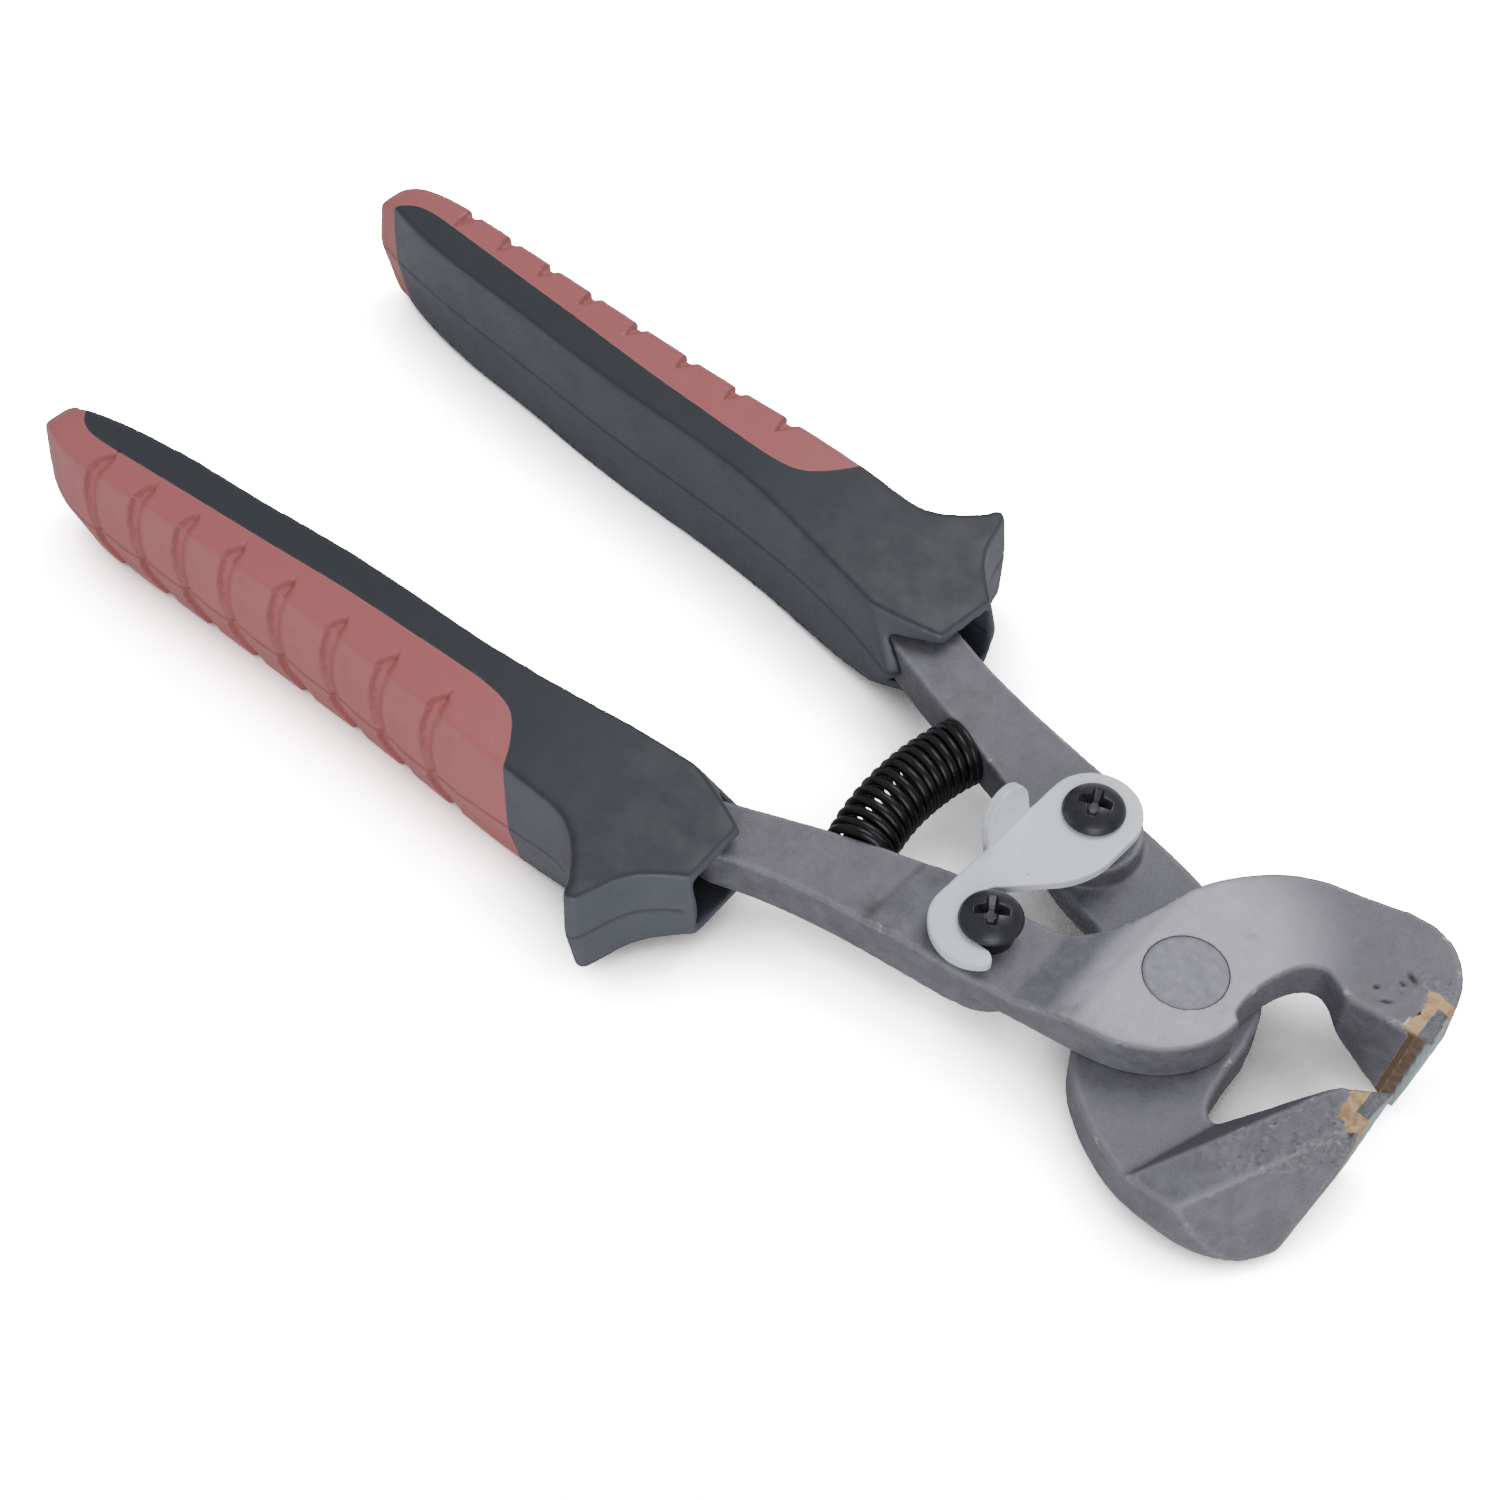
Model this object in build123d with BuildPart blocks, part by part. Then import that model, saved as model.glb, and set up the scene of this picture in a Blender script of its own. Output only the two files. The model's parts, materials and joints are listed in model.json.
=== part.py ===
from build123d import *
import os
from math import cos, degrees, radians, sin

os.makedirs("parts", exist_ok=True)

# Tile nippers. Two forged arms cross at a rivet and carry carbide tipped jaws, moulded grips,
# a return spring and a swinging latch that holds the handles against the spring.
#
# Every outline is drawn in the joint frame: the pivot axis is its Z, the lap face between the
# two arms is z = 0, +X points to the jaws and +Y to the rear arm's handle. The front arm is
# drawn in the same frame turned half a turn about X, so both arms are drawn the same way.

# ---- driving dimensions, millimetres ----
grip_end_reach = 180.0        # pivot axis to the end of a grip
jaw_reach = 26.6              # pivot axis to the ground front of the jaws
handle_axis_offset = 2.0      # the grips mirror about a line this far on the rear side of the pivot
grip_half_height = 10.7

bar_half_height = 3.4
plate_thickness = 6.4
crease_x = -34.0              # where the bar starts to thicken towards the head
crease_run = 4.0              # length of the slope at the crease
neck_thickness = 4.0          # lap face to the neck's outer face
neck_end_x = -14.0            # the neck starts to swell into the head plate here
plate_start_x = -6.0          # and is as thick as the plate from here
lap_gap = 0.05                # each lap face stands this far off the joint's mid-plane
jaw_top = 7.2                 # upper end of the cutting edges, above the lap face
jaw_bottom = 8.7              # their lower end, below it
jaw_lean = 1.6                # the ground front of the jaws falls back this far from top to bottom

rivet_radius = 5.0
rivet_running_gap = 0.05
ring_chamfer = 0.2            # breaks the edge round the rivet

latch_pivot = (-21.6, 11.5)   # on the rear arm
catch_centre = (-21.3, -9.2)  # on the front arm
boss_radius = 6.6             # half-round end of each bar's full thickness

washer_thickness = 2.0        # a spacer: it lifts the latch clear of the front arm
latch_thickness = 1.4
latch_clearance = 0.15
screw_head_radius = 3.95
screw_head_height = 2.5
screw_shank_radius = 2.0
screw_depth = 4.6
shank_gap = 0.02
sleeve_radius = 3.0
washer_radius = 5.2
latch_play = 0.05
latch_end_radius = 6.1
slot_radius = 3.5
tab_x = -27.5
tab_y = 2.9
tab_width = 7.8
tab_height = 7.7
tab_lean = 8.0
screw_rim_height = 0.9
recess_span = 4.6
recess_width = 1.1
recess_floor_span = 1.9
recess_floor_width = 0.8
recess_depth = 1.7

spring_outer_radius = 4.7
spring_inner_radius = 3.4
spring_x = -42.6
spring_front_y = -8.4         # where the spring's axis meets the front arm's inner face
spring_rear_y = 13.1          # and the rear arm's
spring_half_turn = 18.5       # the spring bows by twice this angle
spring_end_gap = 0.2
peg_radius = 2.6
peg_length = 3.8
peg_depth = 1.6
peg_nose_radius = 1.8

tip_width = 4.6               # carbide along the ground front
tip_depth = 2.0               # carbide behind the ground front
braze_thickness = 0.6

skin_thickness = 2.2          # soft overmould over the grip body
grip_bevel = 2.7              # how far the outer side of a grip leans in from its parting line
inner_bevel_share = 0.15      # the inner side leans in by this share of it
grip_turn = 1.1               # degrees: both grips stand this far askew, towards the rear side
grip_turn_point = (-60.0, 31.5)
grip_taper_x = -120.0         # the flats draw together from here to the shoulder
grip_shoulder = (-171.0, 10.0)
grip_corner = (-178.6, 6.2)   # where the end's rounding is steepest
guard_start_x = -94.0         # the flats slope down towards the mouth from here
guard_slope = (-74.0, 9.5)
mouth_x = -53.0
mouth_half_height = 6.4
grip_limit_x = -40.0          # beyond every outline of a grip
grip_limit_half_height = 3.0
pocket_half_height = 4.8
end_share = 0.3               # shares of the inset taken at the grip's end and across the guard's fin
fin_share = 0.4
fin_back_share = 0.7

jaw_start_x = 9.0             # the jaws begin to widen beyond here
jaw_flat = 4.0                # level stretch at each end of the widening
outline_margin = 40.0         # reaches past every outline of the head
tip_overhang = 0.4            # lets the tip's cutting block pass the edge

# ---- frames ----
mid_height = grip_half_height
pivot_x = (grip_end_reach - jaw_reach) / 2
pivot_y = -handle_axis_offset
joint = Plane(origin=(pivot_x, pivot_y, mid_height))
flipped = Plane(origin=(pivot_x, pivot_y, mid_height), x_dir=(1, 0, 0), z_dir=(0, 0, -1))


def save(part, name):
    """Label one finished piece and write its file."""
    part.label = name
    export_step(part, f"parts/{name}.step")


def plane_through(frame, a, b, c):
    """The plane through three points of a frame, its normal towards the frame's +Z side."""
    origin = frame.from_local_coords(Vector(a))
    along = frame.from_local_coords(Vector(b)) - origin
    across = frame.from_local_coords(Vector(c)) - origin
    normal = along.cross(across)
    if normal.dot(frame.z_dir) < 0:
        normal = normal * -1
    return Plane(origin=origin, z_dir=normal)


def upright(frame, y):
    """The XZ plane of a frame at a given y: sketch X runs along X, sketch Y along the frame's Z."""
    return Plane(
        origin=frame.from_local_coords(Vector(0, y, 0)),
        x_dir=frame.x_dir,
        z_dir=frame.x_dir.cross(frame.z_dir),
    )


# ---- forged arms ----
def forged_blank(frame, bar_inner, head_side, jaw_back, edge, throat, bar_outer, tang_end):
    """Full-height prism of an arm's plan: tang, bar, head and jaw in one outline.

    The outline runs from the tang along the bar's inner edge, round the head and the back of the
    jaw, across the ground front to the cutting edge, through the throat and back up the bar.
    """
    with BuildPart() as blank:
        with BuildSketch(frame.offset(-jaw_bottom)):
            with BuildLine():
                Line(tang_end[0], bar_inner[0])
                Spline(*bar_inner)
                Spline(bar_inner[-1], *head_side)
                Spline(head_side[-1], *jaw_back)
                Line(jaw_back[-1], edge)
                Line(edge, throat[0])
                Line(throat[0], throat[1])
                Spline(*throat[1:])
                Spline(throat[-1], *bar_outer)
                Line(bar_outer[-1], tang_end[1])
                Line(tang_end[1], tang_end[0])
            make_face()
        extrude(amount=2 * jaw_bottom)
    return blank.part


def front_x(frame, height):
    """Where the ground front stands at a height of the frame: furthest forward at the jaws' top."""
    drop = jaw_top - height * frame.z_dir.Z
    return jaw_reach - jaw_lean * drop / (jaw_top + jaw_bottom)


def jaw_heights(frame):
    """How far the jaws stand above and below the lap face, in the frame's own sense of up."""
    return (jaw_top, jaw_bottom) if frame is joint else (jaw_bottom, jaw_top)


def arm_side_profile(frame):
    """Prism of an arm seen from the side: bar, swelling neck, head plate and widening jaw."""
    above, below = jaw_heights(frame)
    with BuildPart() as profile:
        with BuildSketch(upright(frame, 0)):
            with BuildLine():
                Polyline(
                    (-grip_end_reach, bar_half_height),
                    (jaw_start_x, bar_half_height),
                    (jaw_start_x, above),
                    (front_x(frame, above), above),
                    (front_x(frame, -below), -below),
                    (jaw_reach - jaw_flat, -below),
                    (jaw_start_x + jaw_flat, -plate_thickness),
                    (plate_start_x, -plate_thickness),
                    (neck_end_x, -neck_thickness),
                    (crease_x + crease_run, -neck_thickness),
                    (crease_x, -bar_half_height),
                    (-grip_end_reach, -bar_half_height),
                    close=True,
                )
            make_face()
        extrude(amount=2 * outline_margin, both=True)
    return profile.part


def lap_relief(frame, boss_centre, flare_line):
    """What is cut away above the lap face, from the boss's half-round end to the jaw."""
    throat_side, back_side = flare_line
    with BuildPart() as relief:
        with BuildSketch(frame.offset(-lap_gap)):
            with BuildLine():
                Polyline(
                    (boss_centre[0], outline_margin),
                    (throat_side[0], outline_margin),
                    throat_side,
                    back_side,
                    (back_side[0], -outline_margin),
                    (boss_centre[0], -outline_margin),
                    close=True,
                )
            make_face()
            with Locations(boss_centre):
                Circle(boss_radius, mode=Mode.SUBTRACT)
        extrude(amount=2 * jaw_bottom)
    return relief.part


def above_plane(frame, flare_line, cutting_plane):
    """The jaw's side of the flare line, above one of the planes that shape the jaw's top."""
    throat_side, back_side = flare_line
    with BuildPart() as waste:
        with BuildSketch(frame.offset(-outline_margin)):
            with BuildLine():
                Polyline(
                    (throat_side[0], outline_margin),
                    throat_side,
                    back_side,
                    (back_side[0], -outline_margin),
                    (outline_margin, -outline_margin),
                    (outline_margin, outline_margin),
                    close=True,
                )
            make_face()
        extrude(amount=2 * outline_margin)
        split(bisect_by=cutting_plane, keep=Keep.TOP)
    return waste.part


def forged_arm(frame, blank, boss_centre, flare_line, jaw_planes):
    """One arm without its holes: the blank cut to its side profile, lap face and jaw planes."""
    wastes = [above_plane(frame, flare_line, plane_through(frame, *points)) for points in jaw_planes]
    profile = arm_side_profile(frame)
    relief = lap_relief(frame, boss_centre, flare_line)
    with BuildPart() as arm:
        add(blank)
        add(profile, mode=Mode.INTERSECT)
        add(relief, mode=Mode.SUBTRACT)
        add(wastes, mode=Mode.SUBTRACT)
    return arm.part


rear_edge = (jaw_reach, 1.5)
rear_blank = forged_blank(
    joint,
    bar_inner=[(-62.2, 20.2), (-45.3, 14.0), (-33.6, 10.0), (-21.4, 4.2), (-14.3, 2.4)],
    head_side=[(-11.6, 0.8), (-8.0, -6.5), (-5.4, -14.2), (-0.9, -18.6), (6.2, -22.2)],
    jaw_back=[(13.7, -22.9), (19.8, -21.1), (23.9, -17.2), (25.6, -13.1)],
    edge=rear_edge,
    throat=[(20.6, -2.1), (13.2, -9.9), (11.6, -10.4), (10.3, -8.6), (9.2, 0.2)],
    bar_outer=[(5.2, 9.2), (-1.0, 13.2), (-7.5, 15.8), (-18.0, 18.2), (-36.4, 21.5), (-54.2, 26.4)],
    tang_end=[(-150.0, 32.0), (-150.0, 37.6)],
)
rear_solid = forged_arm(
    joint,
    rear_blank,
    boss_centre=latch_pivot,
    flare_line=[(12.9, -10.0), (8.0, -24.3)],
    jaw_planes=[
        [(8.0, -24.0, 0), (21.5, -1.7, 7.0), (12.5, -10.4, 0)],
        [(8.0, -24.0, 0), (21.5, -1.7, 7.0), (26.0, -3.6, 7.0)],
        [(26.0, -3.6, 7.0), (26.0, -12.6, -6.0), (20.5, -19.5, -5.0)],
    ],
)

front_edge = (jaw_reach, -9.3)
front_blank = forged_blank(
    flipped,
    bar_inner=[(-59.4, 14.8), (-45.0, 9.2), (-35.5, 6.1), (-29.7, 4.7), (-19.7, 4.3), (-14.7, 3.3)],
    head_side=[(-11.6, 1.0), (-8.6, -4.0), (-5.6, -11.5), (-2.5, -16.1), (6.6, -22.0)],
    jaw_back=[(14.5, -23.9), (18.1, -24.1), (21.5, -22.9), (24.2, -20.3), (25.9, -16.2)],
    edge=front_edge,
    throat=[(16.0, -8.9), (13.4, -10.3), (11.6, -10.7), (9.6, -9.2), (8.4, 1.2)],
    bar_outer=[(6.5, 7.3), (0.8, 12.1), (-7.3, 14.1), (-23.2, 16.2), (-33.8, 17.3), (-55.2, 22.1)],
    tang_end=[(-150.0, 25.5), (-150.0, 30.0)],
)
front_solid = forged_arm(
    flipped,
    front_blank,
    boss_centre=(catch_centre[0], -catch_centre[1]),
    flare_line=[(14.4, -10.0), (10.6, -24.0)],
    jaw_planes=[
        [(11.0, -23.5, 0), (21.6, -11.5, 7.2), (14.0, -10.4, 0)],
        [(26.0, -13.6, 7.0), (26.0, -20.0, -3.0), (20.5, -24.0, -3.0)],
    ],
)


# ---- carbide tips and their braze ----
def tip_block(frame, edge, width, depth):
    """A square bar along the leaning cutting edge, reaching back from the ground front."""
    far = outline_margin
    with BuildPart() as block:
        with BuildSketch(upright(frame, edge[1] + tip_overhang)):
            with BuildLine():
                Polyline(
                    (front_x(frame, far) - depth, far),
                    (front_x(frame, far) + depth, far),
                    (front_x(frame, -far) + depth, -far),
                    (front_x(frame, -far) - depth, -far),
                    close=True,
                )
            make_face()
        extrude(amount=width + 2 * tip_overhang)
    return block.part


def split_tip(frame, solid, edge):
    """Divide an arm's jaw into the carbide tip, the braze round it and the rest of the forging."""
    inner = tip_block(frame, edge, tip_width, tip_depth)
    outer = tip_block(frame, edge, tip_width + 2 * braze_thickness, tip_depth + braze_thickness)
    with BuildPart() as tip:
        add(solid)
        add(inner, mode=Mode.INTERSECT)
    with BuildPart() as braze:
        add(solid)
        add(outer, mode=Mode.INTERSECT)
        add(inner, mode=Mode.SUBTRACT)
    with BuildPart() as rest:
        add(solid)
        add(outer, mode=Mode.SUBTRACT)
    return tip.part, braze.part, rest.part


rear_tip, rear_braze, rear_rest = split_tip(joint, rear_solid, rear_edge)
front_tip, front_braze, front_rest = split_tip(flipped, front_solid, front_edge)
for piece, name in (
    (rear_tip, "carbide_tip_rear"),
    (rear_braze, "braze_rear"),
    (front_tip, "carbide_tip_front"),
    (front_braze, "braze_front"),
):
    save(piece, name)


# ---- return spring and the pegs that locate it ----
spring_half_chord = (spring_rear_y - spring_front_y) / 2
spring_mid_y = (spring_rear_y + spring_front_y) / 2
spring_arc_radius = spring_half_chord / sin(radians(spring_half_turn))
spring_arc_x = spring_x + spring_arc_radius * cos(radians(spring_half_turn))


def spring_station(turn):
    """The plane across the spring's bowed centre line, turned from the middle towards the front arm."""
    angle = radians(180 + turn)
    radial = Vector(cos(angle), sin(angle), 0)
    place = Vector(spring_arc_x, spring_mid_y, 0) + radial * spring_arc_radius
    return Plane(
        origin=joint.from_local_coords(place),
        x_dir=radial,
        z_dir=Vector(-sin(angle), cos(angle), 0),
    )


spring_end_turn = spring_half_turn - degrees(spring_end_gap / spring_arc_radius)
with BuildPart() as spring:
    with BuildSketch(spring_station(-spring_end_turn)):
        Circle(spring_outer_radius)
        Circle(spring_inner_radius, mode=Mode.SUBTRACT)
    revolve(
        axis=Axis(joint.from_local_coords(Vector(spring_arc_x, spring_mid_y, 0)), (0, 0, 1)),
        revolution_arc=2 * spring_end_turn,
    )
save(spring.part, "return_spring")


def spring_peg(turn, side):
    """Round-nosed peg pressed into an arm's inner face, inside the end of the spring."""
    seat = spring_station(turn)
    with BuildPart() as peg:
        with BuildSketch(seat.offset(side * -peg_depth)):
            Circle(peg_radius)
        extrude(amount=side * (peg_depth + peg_length))
        rims = peg.edges().filter_by(GeomType.CIRCLE)
        nose = rims.sort_by(lambda e: abs(seat.to_local_coords(e.center()).Z))[-1]
        fillet(nose, radius=peg_nose_radius)
    return peg.part


front_peg = spring_peg(spring_half_turn, -1)
rear_peg = spring_peg(-spring_half_turn, 1)
save(front_peg, "spring_peg_front")
save(rear_peg, "spring_peg_rear")

# ---- pivot rivet ----
with BuildPart() as rivet:
    with BuildSketch(joint.offset(-plate_thickness)):
        Circle(rivet_radius)
    extrude(amount=2 * plate_thickness)
    chamfer(rivet.edges().filter_by(GeomType.CIRCLE), ring_chamfer)
save(rivet.part, "pivot_rivet")


# ---- screws ----
dome_rise = screw_head_height - screw_rim_height
dome_radius = (screw_head_radius**2 + dome_rise**2) / (2 * dome_rise)
dome_middle = (
    screw_head_radius / 2,
    screw_head_height - dome_radius + (dome_radius**2 - screw_head_radius**2 / 4) ** 0.5,
)


def pan_head_screw(centre, seat_height, turn):
    """Pan head screw with a cross recess, its head's underside at seat_height."""
    with BuildPart() as screw:
        seat = joint.from_local_coords(Vector(*centre, seat_height))
        with BuildSketch(Plane(origin=seat, x_dir=(1, 0, 0), z_dir=(0, -1, 0))):
            with BuildLine():
                rim = Line((screw_head_radius, 0), (screw_head_radius, screw_rim_height))
                dome = ThreePointArc(rim @ 1, dome_middle, (0, screw_head_height))
                Polyline(dome @ 1, (0, -screw_depth), (screw_shank_radius, -screw_depth))
                Polyline((screw_shank_radius, -screw_depth), (screw_shank_radius, 0), rim @ 0)
            make_face()
        revolve(axis=Axis(seat, (0, 0, 1)))
        top = joint.offset(seat_height + screw_head_height)
        with BuildSketch(top) as mouth:
            with Locations(centre):
                Rectangle(recess_span, recess_width, rotation=turn)
                Rectangle(recess_width, recess_span, rotation=turn)
        with BuildSketch(top.offset(-recess_depth)) as floor:
            with Locations(centre):
                Rectangle(recess_floor_span, recess_floor_width, rotation=turn)
                Rectangle(recess_floor_width, recess_floor_span, rotation=turn)
        loft(sections=[mouth.sketch, floor.sketch], ruled=True, mode=Mode.SUBTRACT)
    return screw.part


washer_base = bar_half_height
latch_base = washer_base + washer_thickness + latch_play
latch_top = latch_base + latch_thickness
latch_screw_seat = latch_top + latch_play
catch_screw_seat = latch_top + latch_clearance

save(pan_head_screw(latch_pivot, latch_screw_seat, 20), "latch_screw")
save(pan_head_screw(catch_centre, catch_screw_seat, 35), "catch_screw")


def sleeve(centre, outer_radius, low, high):
    """A plain ring round a screw's shank."""
    with BuildPart() as ring:
        with BuildSketch(joint.offset(low)):
            with Locations(centre):
                Circle(outer_radius)
                Circle(screw_shank_radius + shank_gap, mode=Mode.SUBTRACT)
        extrude(amount=high - low)
    return ring.part


save(sleeve(latch_pivot, washer_radius, washer_base, washer_base + washer_thickness), "latch_washer")
save(sleeve(latch_pivot, sleeve_radius, washer_base + washer_thickness, latch_screw_seat), "latch_bushing")
save(sleeve(catch_centre, sleeve_radius, neck_thickness, catch_screw_seat), "catch_sleeve")

# ---- latch plate: round end on the rear arm, hook round the catch, thumb tab bent up ----
catch_x, catch_y = catch_centre
hook_start = (catch_x + slot_radius * cos(radians(150)), catch_y + slot_radius * sin(radians(150)))
hook_side = (catch_x - slot_radius, catch_y)
hook_floor = (catch_x, catch_y - slot_radius)
latch_left = (latch_pivot[0] - latch_end_radius, latch_pivot[1])
latch_right = (latch_pivot[0] + latch_end_radius, latch_pivot[1])
with BuildPart() as latch:
    with BuildSketch(joint.offset(latch_base)):
        with BuildLine():
            ThreePointArc(latch_left, (latch_pivot[0], latch_pivot[1] + latch_end_radius), latch_right)
            Line(latch_right, (-15.7, 6.4))
            Spline((-15.7, 6.4), (-16.5, 3.4), (-18.2, 0.6))
            Line((-18.2, 0.6), (-23.2, -4.6))
            Spline((-23.2, -4.6), (-24.3, -6.0), hook_start)
            ThreePointArc(hook_start, hook_side, hook_floor)
            Line(hook_floor, (-18.8, -12.7))
            Spline((-18.8, -12.7), (-17.7, -13.8), (-18.8, -15.3))
            Spline((-18.8, -15.3), (-22.7, -16.3), (-26.8, -14.3), (-28.5, -10.4))
            Spline((-28.5, -10.4), (-28.3, -5.0), latch_left)
        make_face()
        with Locations(latch_pivot):
            Circle(sleeve_radius + rivet_running_gap, mode=Mode.SUBTRACT)
    extrude(amount=latch_thickness)
    tab_plane = Plane(
        origin=joint.from_local_coords(Vector(tab_x, tab_y, latch_base)),
        x_dir=(0, 1, 0),
        z_dir=(cos(radians(tab_lean)), 0, sin(radians(tab_lean))),
    )
    with BuildSketch(tab_plane):
        with Locations((0, (tab_height - tab_width / 2) / 2)):
            Rectangle(tab_width, tab_height - tab_width / 2)
        with Locations((0, tab_height - tab_width / 2)):
            Circle(tab_width / 2)
    extrude(amount=-latch_thickness)
save(latch.part, "latch_plate")


# ---- holes in the arms ----
def bored(arm_part, frame, rivet_hole, screw_centre, face_height, peg):
    """Bore an arm for the rivet, its screw and its spring peg."""
    with BuildPart() as arm:
        add(arm_part)
        with Locations(joint):
            Hole(rivet_hole)
        with BuildSketch(joint.offset(face_height)):
            with Locations(screw_centre):
                Circle(screw_shank_radius + shank_gap)
        extrude(amount=-screw_depth, mode=Mode.SUBTRACT)
        add(peg, mode=Mode.SUBTRACT)
        ring = arm.edges().filter_by(GeomType.CIRCLE).filter_by(lambda e: abs(e.radius - rivet_hole) < 0.001)
        chamfer(ring.sort_by(Axis.Z)[-1 if frame is flipped else 0], ring_chamfer)
    return arm.part


rear_arm = bored(rear_rest, joint, rivet_radius, latch_pivot, bar_half_height, rear_peg)
front_arm = bored(
    front_rest,
    flipped,
    rivet_radius + rivet_running_gap,
    catch_centre,
    neck_thickness,
    front_peg,
)
save(rear_arm, "rear_arm")
save(front_arm, "front_arm")


# ---- moulded grips ----
def grip_plane(side):
    """A grip's own frame: +Y away from the other grip, side 1 for the rear one and -1 for the front."""
    turn_x, turn_y = grip_turn_point
    askew = Plane(
        origin=(pivot_x + turn_x, side * turn_y, mid_height),
        x_dir=(cos(radians(grip_turn)), -sin(radians(grip_turn)), 0),
        z_dir=(0, 0, side),
    )
    corner = askew.from_local_coords(Vector(-turn_x, -turn_y, 0))
    return Plane(origin=corner, x_dir=askew.x_dir, z_dir=askew.z_dir)


def grip_section(frame, bevel, skin, height):
    """Plan outline of a grip at one height, drawn in from its widest outline by its bevel and skin."""
    inset = bevel + skin
    inner_inset = inner_bevel_share * bevel + skin
    inner_end, outer_end = (-176.5, 29.4), (-177.4, 36.0)
    inner = [(-160.0, 26.5), (-140.0, 24.6), (-120.0, 22.7), (-86.0, 20.6), (-70.0, 18.0)]
    inner = [(x, y + inner_inset) for x, y in inner]
    inner.insert(0, (inner_end[0] + inset, inner_end[1] + end_share * inset))
    inner.append((-58.0 - 2.8 * inset, 14.4 + 1.4 * inset))
    apex = (-52.6 - inset / 2, 19.5 + inset / 3)
    corner = (-51.9 - inset / 2, 30.2 - inset / 2)
    fin_front = [(-55.8, 32.9), (-58.0, 35.7), (-59.1, 38.7), (-60.0, 42.0)]
    fin_front = [(x, y - fin_share * inset) for x, y in fin_front]
    fin_point = (-61.0, 42.9 - fin_share * inset)
    fin_back = [(-62.3, 42.2), (-65.6, 38.4), (-69.2, 36.3), (-74.0, 36.1)]
    fin_back = [(x, y - fin_back_share * inset) for x, y in fin_back]
    outer = [(-90.0, 37.2), (-110.0, 37.2), (-130.0, 37.9), (-157.0, 39.4), (-169.0, 39.4)]
    outer = [(x, y - inset) for x, y in outer]
    outer.append((outer_end[0] + inset, outer_end[1] - end_share * inset))
    end = (-grip_end_reach + inset, 32.4)
    with BuildSketch(frame.offset(height)) as section:
        with BuildLine():
            Spline(*inner)
            Line(inner[-1], apex)
            Line(apex, corner)
            Spline(corner, *fin_front)
            ThreePointArc(fin_front[-1], fin_point, fin_back[0])
            Spline(*fin_back, *outer)
            ThreePointArc(outer[-1], end, inner[0])
        make_face()
    return section.sketch


def grip_blank(frame, skin):
    """A whole grip, or its core with the skin's thickness taken off all round."""
    height = grip_half_height - skin
    taper = (grip_taper_x, height)
    shoulder = (grip_shoulder[0], grip_shoulder[1] - skin)
    rounding = (grip_corner[0] + skin, grip_corner[1] - skin)
    guard = (guard_start_x, height)
    slope = (guard_slope[0], guard_slope[1] - skin)
    mouth = (mouth_x, mouth_half_height - skin)
    limit = (grip_limit_x, grip_limit_half_height - skin)
    with BuildPart() as blank:
        loft(
            sections=[
                grip_section(frame, grip_bevel, skin, -height),
                grip_section(frame, 0, skin, 0),
                grip_section(frame, grip_bevel, skin, height),
            ],
            ruled=True,
        )
        with BuildSketch(upright(frame, 0)):
            with BuildLine():
                ThreePointArc(shoulder, rounding, (skin - grip_end_reach, 0))
                Polyline(shoulder, taper, guard)
                Spline(guard, slope, mouth)
                Line(mouth, limit)
                Line(limit, (limit[0], 0))
                mirror(about=Plane.XZ)
            make_face()
        extrude(amount=4 * outline_margin, both=True, mode=Mode.INTERSECT)
    return blank.part


def overmould_region(frame):
    """Prism over the part of a grip that the soft overmould covers: its outer side and its end."""
    with BuildPart() as region:
        with BuildSketch(frame.offset(-outline_margin)):
            with BuildLine():
                Spline(
                    (-172.0, 24.0),
                    (-173.0, 28.6),
                    (-169.5, 32.0),
                    (-164.0, 32.6),
                    (-142.0, 30.6),
                    (-106.5, 27.9),
                    (-90.0, 27.2),
                    (-83.0, 30.0),
                    (-79.5, 37.0),
                    (-74.0, 48.0),
                )
                Polyline((-74.0, 48.0), (-190.0, 48.0), (-190.0, 24.0), (-172.0, 24.0))
            make_face()
        extrude(amount=2 * outline_margin)
    return region.part


def front_pocket(frame):
    """The mouth of a grip, roomier than the arm that enters it."""
    with BuildPart() as pocket:
        with BuildSketch(frame.offset(-pocket_half_height)):
            with BuildLine():
                Polyline(
                    (-65.0, 18.4),
                    (-57.0, 16.2),
                    (-45.0, 16.2),
                    (-45.0, 28.0),
                    (-53.0, 29.0),
                    (-65.0, 30.0),
                    close=True,
                )
            make_face()
        extrude(amount=2 * pocket_half_height)
    return pocket.part


def grip(frame, arm_part):
    """Grip body and overmould of one handle, hollow for the arm's tang."""
    whole = grip_blank(frame, 0)
    core = grip_blank(frame, skin_thickness)
    region = overmould_region(frame)
    with BuildPart() as overmould:
        add(whole)
        add(region, mode=Mode.INTERSECT)
        add(core, mode=Mode.SUBTRACT)
    with BuildPart() as body:
        add(whole)
        add(overmould.part, mode=Mode.SUBTRACT)
        add(front_pocket(frame), mode=Mode.SUBTRACT)
        add(arm_part, mode=Mode.SUBTRACT)
    return body.part, overmould.part


for side, arm_part, name in ((1, rear_arm, "rear"), (-1, front_arm, "front")):
    body_part, overmould_part = grip(grip_plane(side), arm_part)
    save(body_part, f"grip_body_{name}")
    save(overmould_part, f"grip_overmould_{name}")
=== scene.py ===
import json
import math

import bmesh
import bpy
import numpy as np
from mathutils import Matrix, Vector, noise


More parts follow.
